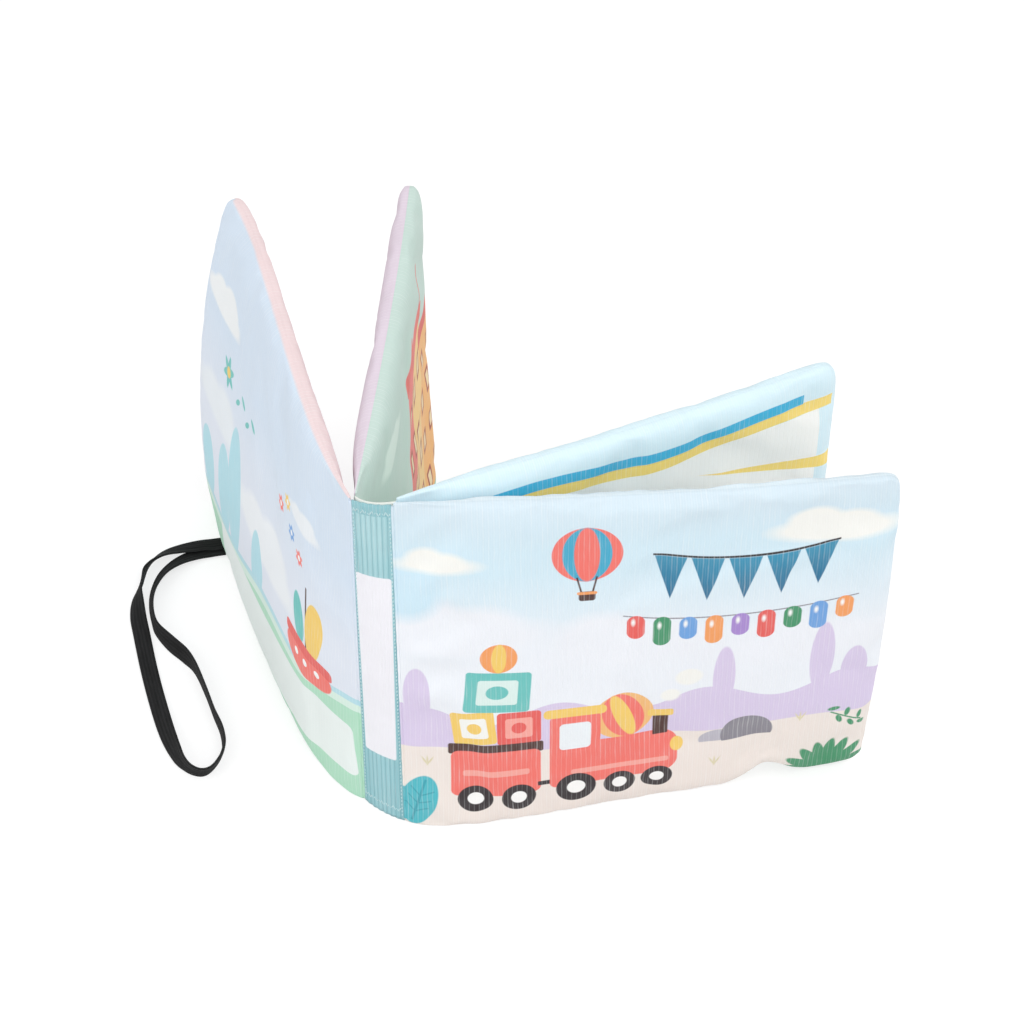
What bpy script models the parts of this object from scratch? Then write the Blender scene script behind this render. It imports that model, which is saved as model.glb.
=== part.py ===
"""A crinkle cloth book, standing open on its bottom edges.

Four padded leaves are sewn to a fabric spine. Each leaf is two fabric panels joined
at an edge seam, with batting and a sheet of crinkle film inside. The leaves swing on
upright fold lines along the spine. An elastic loop, sewn into the foot of the back
cover, lies on the surface that the book stands on.

Units are metres, +Z is up, and the origin is in the middle of the spine strip's foot.
A heading is an angle in the floor plane, from +X towards +Y.
"""
import math

import bmesh
import bpy
from mathutils import Vector

# Leaves
LEAF_LENGTH = 0.180
LEAF_HEIGHT = 0.162
COVER_HALF_THICKNESS = 0.0050
PAGE_HALF_THICKNESS = 0.0058
CROWN = 0.0008
SEAM_HALF_THICKNESS = 0.0008
ROOT_HALF_THICKNESS = 0.00045
EDGE_ROLL = 0.010
HINGE_TAPER = 0.048
CORNER_RADIUS = 0.007
FOOT_CUT = 0.0005
TOP_SAG = 0.0010
FORE_SWELL = 0.0018
FOOT_TUCK_HEIGHT = 0.0080
FOOT_TUCK_REACH = 0.010
FOOT_TUCK_PLACE_SHARE = 0.79
FOOT_LIFT = 0.0020
FOOT_LIFT_START_SHARE = 0.70
ROOT_BEND_REACH = 0.010
TIP_CURL_REACH = 0.010

# Layers inside a leaf
FABRIC_THICKNESS = 0.0006
FILM_THICKNESS = 0.0003
LAYER_GAP = 0.0003

# Spine, which is drawn in and turned at its top
SPINE_FOOT_WIDTH = 0.0197
SPINE_TOP_WIDTH = 0.0151
SPINE_FOOT_HEADING = math.radians(-34.7)
SPINE_TOP_HEADING = math.radians(-10.7)
SPINE_TOP_DROP = 0.0010
STRIP_HALF_THICKNESS = 0.0004
STRIP_BULGE = 0.0010
GUTTER_HALF_THICKNESS = 0.0003
HINGE_CLEARANCE = 0.00045
LEFT_PAGE_INSET = 0.0012
RIGHT_PAGE_OVERHANG = 0.0008
PAGE_FOLD_DEPTH = 0.00245
PAGE_FOLD_CLEARANCE = 0.00015

# Elastic loop
ELASTIC_WIDTH = 0.0070
ELASTIC_THICKNESS = 0.0012

# Shares of the edge roll and of the hinge taper at which the mesh has a line
EDGE_LINE_SHARES = (0.0, 0.12, 0.36, 0.68, 1.0)
TAPER_LINE_SHARES = (0.0, 0.08, 0.22, 0.42, 0.68, 1.0)
INNER_CELLS = 5
FILL_SKIP_COUNT = 2
PATH_STEPS = 24
SPINE_CELLS = 8
SPINE_ROWS = 7
BAND_STEPS = 80

# How each leaf runs away from its fold line, in degrees. bottom and top are its headings
# at the fold line, the middle and the fore edge, along those two edges. belly is what
# half height adds at the fore edge, and root is what the fabric's pull at the spine adds
# at the foot and at the top of the fold line. curl is how much further the upper fore
# corner turns. length_share is what the waves of the padded leaf leave of its length.
LEAF_FORMS = {
    "back_cover": {"bottom": (115.3, 109.9, 103.9), "top": (110.8, 104.0, 108.3),
                   "belly": 4.8, "root": (43.0, 5.0), "curl": 14.0, "length_share": 1.007},
    "left_page": {"bottom": (84.4, 83.9, 84.2), "top": (83.6, 84.9, 87.0),
                  "belly": 1.6, "root": (0.0, 1.0), "curl": 0.0, "length_share": 1.0},
    "right_page": {"bottom": (27.0, 27.0, 26.3), "top": (22.3, 24.2, 26.8),
                   "belly": 0.0, "root": (40.0, 7.5), "curl": 0.0, "length_share": 0.982},
    "front_cover": {"bottom": (14.4, 12.1, 13.1), "top": (3.8, 4.4, 7.6),
                    "belly": 0.0, "root": (-37.0, -1.7), "curl": 0.0, "length_share": 1.009},
}

# Route of the elastic loop on the floor, from its upper end at the back cover to its
# lower end there: x, y, height of its lower edge, and roll in degrees from lying flat
ELASTIC_ROUTE = (
    (-0.0723, 0.1456, 0.0016, 0.0),
    (-0.0764, 0.1448, 0.0016, 0.0),
    (-0.0799, 0.1443, 0.0016, 5.0),
    (-0.0839, 0.1433, 0.0016, 5.0),
    (-0.0894, 0.1415, 0.0014, 15.0),
    (-0.0949, 0.1390, 0.0010, 30.0),
    (-0.0994, 0.1350, 0.0005, 50.0),
    (-0.1019, 0.1310, 0.0002, 70.0),
    (-0.1034, 0.1265, 0.0002, 85.0),
    (-0.1039, 0.1210, 0.0002, 80.0),
    (-0.1049, 0.1155, 0.0002, 60.0),
    (-0.1049, 0.1100, 0.0002, 35.0),
    (-0.1039, 0.1025, 0.0002, 15.0),
    (-0.1019, 0.0940, 0.0002, 5.0),
    (-0.0974, 0.0750, 0.0002, 0.0),
    (-0.0924, 0.0565, 0.0002, 5.0),
    (-0.0869, 0.0385, 0.0002, 25.0),
    (-0.0819, 0.0260, 0.0002, 55.0),
    (-0.0784, 0.0205, 0.0002, 80.0),
    (-0.0749, 0.0175, 0.0002, 95.0),
    (-0.0714, 0.0165, 0.0002, 105.0),
    (-0.0684, 0.0180, 0.0002, 110.0),
    (-0.0659, 0.0220, 0.0002, 108.0),
    (-0.0644, 0.0265, 0.0002, 105.0),
    (-0.0639, 0.0315, 0.0002, 100.0),
    (-0.0654, 0.0390, 0.0002, 95.0),
    (-0.0689, 0.0480, 0.0002, 90.0),
    (-0.0729, 0.0595, 0.0002, 90.0),
    (-0.0779, 0.0720, 0.0002, 95.0),
    (-0.0829, 0.0795, 0.0002, 115.0),
    (-0.0889, 0.0860, 0.0002, 120.0),
    (-0.0949, 0.0935, 0.0002, 105.0),
    (-0.0974, 0.1000, 0.0002, 98.0),
    (-0.0989, 0.1090, 0.0002, 105.0),
    (-0.0984, 0.1180, 0.0002, 120.0),
    (-0.0954, 0.1275, 0.0002, 140.0),
    (-0.0899, 0.1350, 0.0002, 160.0),
    (-0.0829, 0.1400, 0.0002, 175.0),
    (-0.0769, 0.1422, 0.0002, 180.0),
    (-0.0710, 0.1435, 0.0002, 180.0),
)


def clear_scene():
    for thing in list(bpy.data.objects):
        bpy.data.objects.remove(thing, do_unlink=True)


def make_material(name, colour, roughness):
    material = bpy.data.materials.new(name)
    material.use_nodes = True
    shader = material.node_tree.nodes["Principled BSDF"]
    shader.inputs["Base Color"].default_value = (*colour, 1.0)
    shader.inputs["Roughness"].default_value = roughness
    shader.inputs["Metallic"].default_value = 0.0
    return material


def make_materials():
    return {
        "cover_print": make_material("cover_print", (0.66, 0.82, 0.90), 0.85),
        "lining_pink": make_material("lining_pink", (0.88, 0.68, 0.71), 0.85),
        "page_lilac": make_material("page_lilac", (0.78, 0.67, 0.76), 0.85),
        "page_mint": make_material("page_mint", (0.58, 0.79, 0.69), 0.85),
        "page_blue": make_material("page_blue", (0.62, 0.85, 0.95), 0.85),
        "spine_teal": make_material("spine_teal", (0.36, 0.58, 0.62), 0.85),
        "batting": make_material("batting", (0.85, 0.85, 0.83), 0.95),
        "crinkle_film": make_material("crinkle_film", (0.80, 0.82, 0.84), 0.25),
        "elastic_black": make_material("elastic_black", (0.025, 0.026, 0.028), 0.75),
    }


def grid_solid(name, place, rows, columns, origin, material):
    """Closed solid between two grids of points, place(side, row, column) for sides 0 and 1.

    Every cell is cut along the same diagonal, so that layers laid on one grid can't cross.
    """
    mesh = bmesh.new()
    sides = []
    for side in (0, 1):
        sides.append([[mesh.verts.new(place(side, row, column) - origin)
                       for column in range(columns)] for row in range(rows)])
    for grid in sides:
        for row in range(rows - 1):
            for column in range(columns - 1):
                near = grid[row][column]
                far = grid[row + 1][column + 1]
                mesh.faces.new((near, grid[row][column + 1], far))
                mesh.faces.new((near, far, grid[row + 1][column]))
    rim = [(0, column) for column in range(columns)]
    rim += [(row, columns - 1) for row in range(1, rows)]
    rim += [(rows - 1, column) for column in range(columns - 2, -1, -1)]
    rim += [(row, 0) for row in range(rows - 2, 0, -1)]
    for (row, column), (next_row, next_column) in zip(rim, rim[1:] + rim[:1]):
        first, second = sides[0][row][column], sides[1][row][column]
        third, fourth = sides[1][next_row][next_column], sides[0][next_row][next_column]
        mesh.faces.new((first, second, third))
        mesh.faces.new((first, third, fourth))
    bmesh.ops.recalc_face_normals(mesh, faces=mesh.faces)
    return finish_object(name, mesh, origin, material)


def finish_object(name, mesh, origin, material):
    data = bpy.data.meshes.new(name)
    mesh.to_mesh(data)
    mesh.free()
    data.shade_smooth()
    data.set_sharp_from_angle(angle=math.radians(40))
    data.materials.append(material)
    thing = bpy.data.objects.new(name, data)
    thing.location = origin
    bpy.context.scene.collection.objects.link(thing)
    return thing


def inward_of(along):
    """The level direction into the book, across a direction along the spine."""
    return Vector((-along.y, along.x, 0.0)).normalized()


def fold_ends(leaf):
    """Foot and top of the leaf's fold line. The back cover's is upright, and the others
    are placed from it, at the foot and at the top of the spine. The middle of the cover
    strip's foot, which bulges out from between its fold lines, is at the origin."""
    start = None
    ends = []
    for turn, width, height in ((SPINE_FOOT_HEADING, SPINE_FOOT_WIDTH, 0.0),
                                (SPINE_TOP_HEADING, SPINE_TOP_WIDTH, LEAF_HEIGHT)):
        along = Vector((math.cos(turn), math.sin(turn), 0.0))
        inward = inward_of(along)
        if start is None:
            start = inward * STRIP_BULGE - along * (width / 2)
        run, depth = {
            "back_cover": (0.0, 0.0),
            "left_page": (LEFT_PAGE_INSET, PAGE_FOLD_DEPTH),
            "right_page": (width + RIGHT_PAGE_OVERHANG, PAGE_FOLD_DEPTH),
            "front_cover": (width, 0.0),
        }[leaf]
        ends.append(start + along * run + inward * depth + Vector((0.0, 0.0, height)))
    return ends


def fold_point(leaf, height):
    """Point of the leaf's fold line at a height."""
    foot, top = fold_ends(leaf)
    return foot.lerp(top, min(max(height / LEAF_HEIGHT, 0.0), 1.0))


def ramp(distance, reach):
    """Quarter-circle rise from 0 at an edge to 1 at its reach."""
    left = 1.0 - min(max(distance / reach, 0.0), 1.0)
    return math.sqrt(1.0 - left * left)


def smooth_rise(share):
    share = min(max(share, 0.0), 1.0)
    return math.sin(share * math.pi / 2)


def heading(leaf, distance, up_share):
    """Heading of the leaf's middle surface, in radians."""
    form = LEAF_FORMS[leaf]
    share = distance / LEAF_LENGTH
    rows = []
    for (start, middle, end), pull in zip((form["bottom"], form["top"]), form["root"]):
        bend = start + end - 2 * middle
        slope = 4 * middle - 3 * start - end
        run = start + slope * share + 2 * bend * share * share
        rows.append(run + pull * math.exp(-distance / ROOT_BEND_REACH))
    belly = form["belly"] * share * 4 * up_share * (1.0 - up_share)
    left = max(LEAF_LENGTH - distance, 0.0)
    curl = form["curl"] * math.exp(-left / TIP_CURL_REACH) * up_share * up_share
    return math.radians(rows[0] + (rows[1] - rows[0]) * up_share + belly + curl)


def middle_point(leaf, distance, height):
    """Point of the leaf's middle surface and its heading there."""
    up_share = min(max(height / LEAF_HEIGHT, 0.0), 1.0)
    place = fold_point(leaf, height)
    step = distance / PATH_STEPS
    for count in range(PATH_STEPS):
        angle = heading(leaf, (count + 0.5) * step, up_share)
        place.x += step * math.cos(angle)
        place.y += step * math.sin(angle)
    place.z = height
    return place, heading(leaf, distance, up_share)


def half_thickness(leaf, distance, height):
    """Half thickness of the padded leaf, from the distances to its edges."""
    full = COVER_HALF_THICKNESS if leaf.endswith("cover") else PAGE_HALF_THICKNESS
    share = distance / LEAF_LENGTH
    up_share = min(max(height / LEAF_HEIGHT, 0.0), 1.0)
    full += CROWN * math.sin(math.pi * share) * math.sin(math.pi * up_share)
    taper = smooth_rise(distance / HINGE_TAPER)
    edge = SEAM_HALF_THICKNESS + (ROOT_HALF_THICKNESS - SEAM_HALF_THICKNESS) * (1.0 - taper)
    rise = ramp(LEAF_LENGTH - distance, EDGE_ROLL)
    rise *= ramp(LEAF_HEIGHT - height, EDGE_ROLL) * ramp(height + FOOT_CUT, EDGE_ROLL)
    return edge + (full - edge) * rise * taper


def edge_lines(length, start_shares, start_reach):
    """Mesh lines across a leaf: close at its edges and even between them."""
    lines = [share * start_reach for share in start_shares]
    first, last = start_reach, length - EDGE_ROLL
    lines += [first + (last - first) * count / INNER_CELLS for count in range(1, INNER_CELLS)]
    lines += [length - share * EDGE_ROLL for share in reversed(EDGE_LINE_SHARES)]
    return lines


def leaf_lines():
    along = edge_lines(LEAF_LENGTH, TAPER_LINE_SHARES, HINGE_TAPER)
    along[0] = HINGE_CLEARANCE
    return along, edge_lines(LEAF_HEIGHT, EDGE_LINE_SHARES, EDGE_ROLL)


def rounded(distance, height):
    """Moves a point of the leaf's rectangle to its soft outline."""
    past = max((distance - (LEAF_LENGTH - CORNER_RADIUS)) / CORNER_RADIUS, 0.0)
    above = (height - (LEAF_HEIGHT - CORNER_RADIUS)) / CORNER_RADIUS
    below = (CORNER_RADIUS - height) / CORNER_RADIUS
    up = max(above, below, 0.0)
    inner = LEAF_LENGTH - CORNER_RADIUS
    if past > 0.0 and up > 0.0:
        reach = up * math.sqrt(1.0 - past * past / 2)
        distance = inner + CORNER_RADIUS * past * math.sqrt(1.0 - up * up / 2)
        height = LEAF_HEIGHT - CORNER_RADIUS + CORNER_RADIUS * reach
        if below > above:
            height = CORNER_RADIUS - CORNER_RADIUS * reach
    return distance, height


def soft_outline(leaf, distance, height):
    """Place of a grid point after the corners are rounded and the edges drawn in."""
    distance, height = rounded(distance, height)
    share = distance / LEAF_LENGTH
    up_share = height / LEAF_HEIGHT
    distance *= LEAF_FORMS[leaf]["length_share"]
    distance += FORE_SWELL * math.sin(math.pi * up_share) * share * share
    height -= TOP_SAG * math.sin(math.pi * share) * up_share * up_share
    if leaf == "front_cover":
        away = (distance - FOOT_TUCK_PLACE_SHARE * LEAF_LENGTH) / FOOT_TUCK_REACH
        past = max(share - FOOT_LIFT_START_SHARE, 0.0) / (1.0 - FOOT_LIFT_START_SHARE)
        lift = FOOT_TUCK_HEIGHT * math.exp(-away * away) + FOOT_LIFT * smooth_rise(past)
        height += lift * (1.0 - up_share) ** 8
    return distance, height


def leaf_layer(name, leaf, offsets, lines, material):
    """One layer of a leaf, between two offsets from its middle surface."""
    along, up = lines

    def place(side, row, column):
        thick = half_thickness(leaf, along[row], up[column])
        distance, height = soft_outline(leaf, along[row], up[column])
        point, angle = middle_point(leaf, distance, height)
        offset = offsets(thick)[side]
        point.x -= offset * math.sin(angle)
        point.y += offset * math.cos(angle)
        return point

    return grid_solid(name, place, len(along), len(up), fold_ends(leaf)[0], material)


def panel_offsets(side):
    """Offsets of a fabric panel: +1 is the side to the left of the leaf's heading."""
    def offsets(thick):
        inner = max(thick - FABRIC_THICKNESS, LAYER_GAP / 2)
        return side * inner, side * thick
    return offsets


def film_offsets(side):
    def offsets(thick):
        outer = thick - FABRIC_THICKNESS - LAYER_GAP
        return side * (outer - FILM_THICKNESS), side * outer
    return offsets


def batting_offsets(film_side):
    """The batting fills the leaf, less the film's room on the film's side."""
    def offsets(thick):
        plain = thick - FABRIC_THICKNESS - LAYER_GAP
        return -film_side * plain, film_side * (plain - FILM_THICKNESS - LAYER_GAP)
    return offsets


def build_leaf(leaf, sides, film_side, materials):
    """Two panels, batting and film. sides names the left and right panels and their colours."""
    lines = leaf_lines()
    skip = FILL_SKIP_COUNT
    inner_lines = (lines[0][skip + 1:-skip], lines[1][skip:-skip])
    for side, (panel, colour) in zip((1, -1), sides):
        leaf_layer(f"{leaf}_{panel}_panel", leaf, panel_offsets(side), lines, materials[colour])
    leaf_layer(f"{leaf}_crinkle_film", leaf, film_offsets(film_side), inner_lines,
               materials["crinkle_film"])
    leaf_layer(f"{leaf}_batting", leaf, batting_offsets(film_side), inner_lines,
               materials["batting"])


def cover_strip_place(share, offset, height):
    """Point of the cover strip, which is a shallow arc between the covers' fold lines.
    share runs from -1 to 1 across it."""
    left, right = fold_point("back_cover", height), fold_point("front_cover", height)
    along = (right - left).normalized()
    half = (right - left).length / 2 - HINGE_CLEARANCE
    bulge = STRIP_BULGE * (1.0 - share * share)
    return (left + right) / 2 + along * (half * share) + inward_of(along) * (offset - bulge)


def gutter_strip_place(share, offset, height):
    """Point of the gutter strip, a valley between the pages' fold lines, whose middle
    lies on the cover strip."""
    left, right = fold_point("left_page", height), fold_point("right_page", height)
    inward = inward_of(right - left)
    lift = GUTTER_HALF_THICKNESS + PAGE_FOLD_CLEARANCE
    edge = left.lerp(right, (share + 1.0) / 2) - inward * lift
    middle = (left + right) / 2 - inward * lift
    rest = STRIP_HALF_THICKNESS + LAYER_GAP + GUTTER_HALF_THICKNESS
    low = cover_strip_place(0.0, rest, height)
    return edge + (low - middle) * (1.0 - share * share) + inward * offset


def spine_strip(name, strip_place, half_thickness_of_strip, material):
    """An upright fabric strip of the spine."""
    height = LEAF_HEIGHT - SPINE_TOP_DROP

    def place(side, row, column):
        offset = (2 * side - 1) * half_thickness_of_strip
        return strip_place(2 * row / SPINE_CELLS - 1.0, offset, height * column / SPINE_ROWS)

    return grid_solid(name, place, SPINE_CELLS + 1, SPINE_ROWS + 1, Vector(), material)


def build_spine(materials):
    spine_strip("spine_cover_strip", cover_strip_place, STRIP_HALF_THICKNESS,
                materials["spine_teal"])
    spine_strip("gutter_strip", gutter_strip_place, GUTTER_HALF_THICKNESS,
                materials["page_mint"])


def smooth_route(route, steps):
    """Even samples of a Catmull-Rom curve through the route's rows."""
    spans = len(route) - 1
    samples = []
    for count in range(steps + 1):
        place = spans * count / steps
        index = min(int(place), spans - 1)
        part = place - index
        rows = [route[min(max(index + shift, 0), spans)] for shift in (-1, 0, 1, 2)]
        samples.append([blend_rows(values, part) for values in zip(*rows)])
    return samples


def blend_rows(values, part):
    before, start, end, after = values
    cubic = -before + 3 * start - 3 * end + after
    square = 2 * before - 5 * start + 4 * end - after
    return 0.5 * (2 * start + (end - before) * part + square * part ** 2 + cubic * part ** 3)


def band_ring(before, here, after):
    """Corners of the elastic's cross-section at one sample of its route."""
    x, y, lift, roll = here
    way = Vector((after[0] - before[0], after[1] - before[1], 0.0)).normalized()
    across = Vector((-way.y, way.x, 0.0))
    up = Vector((0.0, 0.0, 1.0))
    turn = math.radians(roll)
    broad = (across * math.cos(turn) + up * math.sin(turn)) * (ELASTIC_WIDTH / 2)
    thin = (up * math.cos(turn) - across * math.sin(turn)) * (ELASTIC_THICKNESS / 2)
    centre = Vector((x, y, lift + abs(broad.z) + abs(thin.z)))
    return [centre + broad * a + thin * b for a, b in ((-1, -1), (1, -1), (1, 1), (-1, 1))]


def build_elastic(materials):
    """The elastic loop: a flat band that lies, turns over and stands along its route."""
    samples = smooth_route(ELASTIC_ROUTE, BAND_STEPS)
    neighbours = zip(samples[:1] + samples[:-1], samples, samples[1:] + samples[-1:])
    origin = fold_ends("back_cover")[0]
    mesh = bmesh.new()
    rings = [[mesh.verts.new(corner - origin) for corner in band_ring(*group)]
             for group in neighbours]
    for first, second in zip(rings, rings[1:]):
        for a, b, c, d in zip(first, first[1:] + first[:1], second[1:] + second[:1], second):
            mesh.faces.new((a, b, c, d))
    mesh.faces.new(rings[0])
    mesh.faces.new(rings[-1])
    bmesh.ops.triangulate(mesh, faces=mesh.faces)
    bmesh.ops.recalc_face_normals(mesh, faces=mesh.faces)
    finish_object("elastic_loop", mesh, origin, materials["elastic_black"])


def main():
    clear_scene()
    materials = make_materials()
    build_spine(materials)
    build_leaf("back_cover", (("outer", "cover_print"), ("inner", "lining_pink")), 1, materials)
    build_leaf("left_page", (("left", "page_lilac"), ("right", "page_mint")), -1, materials)
    build_leaf("right_page", (("left", "page_mint"), ("right", "page_blue")), -1, materials)
    build_leaf("front_cover", (("inner", "page_blue"), ("outer", "cover_print")), -1, materials)
    build_elastic(materials)


main()
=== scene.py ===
"""Dresses the crinkle cloth book: printed ribbed fabric over soft padding, a stitched
spine, an elastic loop, a plain floor and soft studio light.

Lengths are metres and +Z is up, as in the frame. A heading is an angle in the floor plane,
from +X towards +Y. Places in a print are centimetres on the flat fabric: u runs from the
spine to the fore edge, and v from the foot to the top.
"""

import math

import bpy
import numpy as np
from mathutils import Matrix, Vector, noise


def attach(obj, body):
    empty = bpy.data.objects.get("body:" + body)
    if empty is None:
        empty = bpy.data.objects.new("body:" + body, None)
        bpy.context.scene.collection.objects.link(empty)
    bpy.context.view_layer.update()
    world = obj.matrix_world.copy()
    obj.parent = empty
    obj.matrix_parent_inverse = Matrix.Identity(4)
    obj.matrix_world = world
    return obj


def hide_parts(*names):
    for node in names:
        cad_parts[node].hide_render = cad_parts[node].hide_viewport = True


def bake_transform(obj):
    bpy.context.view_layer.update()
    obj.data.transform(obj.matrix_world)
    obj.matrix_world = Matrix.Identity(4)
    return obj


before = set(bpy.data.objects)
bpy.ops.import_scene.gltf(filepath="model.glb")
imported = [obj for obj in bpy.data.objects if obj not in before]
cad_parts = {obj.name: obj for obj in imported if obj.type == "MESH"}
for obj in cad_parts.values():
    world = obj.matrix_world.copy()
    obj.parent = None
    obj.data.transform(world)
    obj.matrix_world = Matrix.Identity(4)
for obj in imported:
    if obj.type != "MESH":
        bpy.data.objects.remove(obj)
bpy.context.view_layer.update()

# Leaves, as in the model
LEAF_LENGTH = 0.180
LEAF_HEIGHT = 0.162
COVER_HALF_THICKNESS = 0.0050
PAGE_HALF_THICKNESS = 0.0058
CROWN = 0.0008
SEAM_HALF_THICKNESS = 0.0008
ROOT_HALF_THICKNESS = 0.00045
EDGE_ROLL = 0.010
EDGE_FULLNESS = 0.85
HINGE_TAPER = 0.048
CORNER_RADIUS = 0.0055
FOOT_CUT = 0.0005
TOP_SAG = 0.0010
FORE_SWELL = 0.0018
FOOT_TUCK_HEIGHT = 0.0080
FOOT_TUCK_REACH = 0.010
FOOT_TUCK_PLACE_SHARE = 0.79
FOOT_LIFT = 0.0020
FOOT_LIFT_START_SHARE = 0.70
ROOT_BEND_REACH = 0.010
TIP_CURL_REACH = 0.010
PATH_STEPS = 24
PAGE_FOLD_DEPTH = 0.00245

# How each leaf is made and runs away from its fold line. panels are its left and right
# panel with their slots. film is the side that its film lies on, and turned is the panel
# that turns round the fold line. fold is where the fold line lies: the share of the spine's
# width, what is added along the spine, and how deep it is in the book. Headings are in
# degrees, at the fold line, the middle and the fore edge, along the foot and the top. belly
# is what half height adds at the fore edge, root what the fabric's pull at the spine adds
# at the foot and the top, and curl how much further the upper fore corner turns.
# length_share is what the waves of the padded leaf leave of its length, and slack how much
# larger than the padding its fabric is.
LEAVES = {
    "back_cover": {
        "panels": (("outer", "cover_print"), ("inner", "lining_pink")), "film": 1, "turned": 0,
        "fold": (0.0, 0.0, 0.0), "bottom": (115.3, 109.9, 103.9), "top": (110.8, 104.0, 108.3),
        "belly": 4.8, "root": (43.0, 5.0), "curl": 14.0, "length_share": 1.007, "slack": 0.009},
    "left_page": {
        "panels": (("left", "page_lilac"), ("right", "page_mint")), "film": -1, "turned": 1,
        "fold": (0.0, 0.0012, PAGE_FOLD_DEPTH), "bottom": (84.4, 83.9, 84.2), "top": (83.6, 84.9, 87.0),
        "belly": 1.6, "root": (0.0, 1.0), "curl": 0.0, "length_share": 1.0, "slack": 0.008},
    "right_page": {
        "panels": (("left", "page_mint"), ("right", "page_blue")), "film": -1, "turned": 1,
        "fold": (1.0, 0.0008, PAGE_FOLD_DEPTH), "bottom": (27.0, 27.0, 26.3), "top": (22.3, 24.2, 26.8),
        "belly": 0.0, "root": (40.0, 7.5), "curl": 0.0, "length_share": 0.982, "slack": 0.010},
    "front_cover": {
        "panels": (("inner", "page_blue"), ("outer", "cover_print")), "film": -1, "turned": 1,
        "fold": (1.0, 0.0, 0.0), "bottom": (14.4, 12.1, 13.1), "top": (3.8, 4.4, 7.6),
        "belly": 0.0, "root": (-37.0, -1.7), "curl": 0.0, "length_share": 1.009, "slack": 0.020},
}

# Spine, as in the model
SPINE_FOOT_WIDTH = 0.0197
SPINE_TOP_WIDTH = 0.0151
SPINE_FOOT_HEADING = math.radians(-34.7)
SPINE_TOP_HEADING = math.radians(-10.7)
SPINE_TOP_DROP = 0.0010
STRIP_HEIGHT = LEAF_HEIGHT - SPINE_TOP_DROP
STRIP_HALF_THICKNESS = 0.0004
STRIP_BULGE = 0.0010
GUTTER_HALF_THICKNESS = 0.0003
HINGE_CLEARANCE = 0.00045
PAGE_FOLD_CLEARANCE = 0.00015
LAYER_GAP = 0.0003

# Fabric, film and padding as they are dressed
FABRIC_THICKNESS = 0.00055
FILM_THICKNESS = 0.0002
FILM_CREASE_CELL = 0.012
SEAM_GAP = 0.00003
SEAM_WIDTH = 0.0015
CELL = 0.0030
EDGE_LINE_SHARES = (0.0, 0.05, 0.15, 0.32, 0.60, 1.0)
CM = 0.01
MM = 0.001

# Settling of the fabric over the padding
PAD_GRIP_SHARE = 0.06
SETTLE_FRAMES = 16
SWELL_LIMIT = 0.00035
DIP_LIMIT = 0.0014
SLIDE_LIMIT = 0.0010
HINGE_FADE = 0.012
CLOTH_SETTINGS = {
    "quality": 6, "mass": 0.2, "tension_stiffness": 30, "compression_stiffness": 30,
    "shear_stiffness": 12, "bending_stiffness": 2.0, "use_pressure": True,
    "uniform_pressure_force": 0.6, "vertex_group_mass": "seam",
}

# Spine strips, fold edges and stitches
STRIP_COLUMNS = 25
STRIP_ROWS = 97
PLEAT_DEPTH = 0.00028
PLEAT_PITCH = 0.0029
PLEAT_REACH = 0.022
BEAD_RADIUS = 0.00062
BEAD_SIDES = 10
BEAD_ROWS = 109
BEAD_END_INSET = 0.0004
BEAD_END_SHARE = 0.75
BEAD_PUFF = 0.07
STITCH_RINGS = 7
STITCH_SIDES = 6
STITCH_LENGTH = 0.0012
STITCH_RADIUS = 0.00024
STITCH_PITCH = 0.0019
STITCH_INSET = 0.0006
STITCH_LEAN = 0.12
BAR_PITCH = 0.00085
BAR_HEIGHT = 0.0021
BAR_FOOT_INSET = 0.0052
BAR_TOP_INSET = 0.0038
BAR_LEAN = 0.45
BAR_WANDER = 0.0003

# Elastic loop
ELASTIC_WIDTH = 0.0070
ELASTIC_THICKNESS = 0.0012
ELASTIC_RIBS = 5
ELASTIC_RIB_DEPTH = 0.00030
BAND_STEPS = 320
BAND_SIDE_POINTS = 17

# Route of the elastic loop, as in the model: x, y and height of its lower edge in millimetres,
# and roll in degrees from lying flat
ELASTIC_ROUTE = (
    (-72.3, 145.6, 1.6, 0), (-76.4, 144.8, 1.6, 0), (-79.9, 144.3, 1.6, 5), (-83.9, 143.3, 1.6, 5),
    (-89.4, 141.5, 1.4, 15), (-94.9, 139.0, 1.0, 30), (-99.4, 135.0, 0.5, 50), (-101.9, 131.0, 0.2, 70),
    (-103.4, 126.5, 0.2, 85), (-103.9, 121.0, 0.2, 80), (-104.9, 115.5, 0.2, 60),
    (-104.9, 110.0, 0.2, 35), (-103.9, 102.5, 0.2, 15), (-101.9, 94.0, 0.2, 5), (-97.4, 75.0, 0.2, 0),
    (-92.4, 56.5, 0.2, 5), (-86.9, 38.5, 0.2, 25), (-81.9, 26.0, 0.2, 55), (-78.4, 20.5, 0.2, 80),
    (-74.9, 17.5, 0.2, 95), (-71.4, 16.5, 0.2, 105), (-68.4, 18.0, 0.2, 110), (-65.9, 22.0, 0.2, 108),
    (-64.4, 26.5, 0.2, 105), (-63.9, 31.5, 0.2, 100), (-65.4, 39.0, 0.2, 95), (-68.9, 48.0, 0.2, 90),
    (-72.9, 59.5, 0.2, 90), (-77.9, 72.0, 0.2, 95), (-82.9, 79.5, 0.2, 115), (-88.9, 86.0, 0.2, 120),
    (-94.9, 93.5, 0.2, 105), (-97.4, 100.0, 0.2, 98), (-98.9, 109.0, 0.2, 105),
    (-98.4, 118.0, 0.2, 120), (-95.4, 127.5, 0.2, 140), (-89.9, 135.0, 0.2, 160),
    (-82.9, 140.0, 0.2, 175), (-76.9, 142.2, 0.2, 180), (-71.0, 143.5, 0.2, 180),
)

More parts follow.
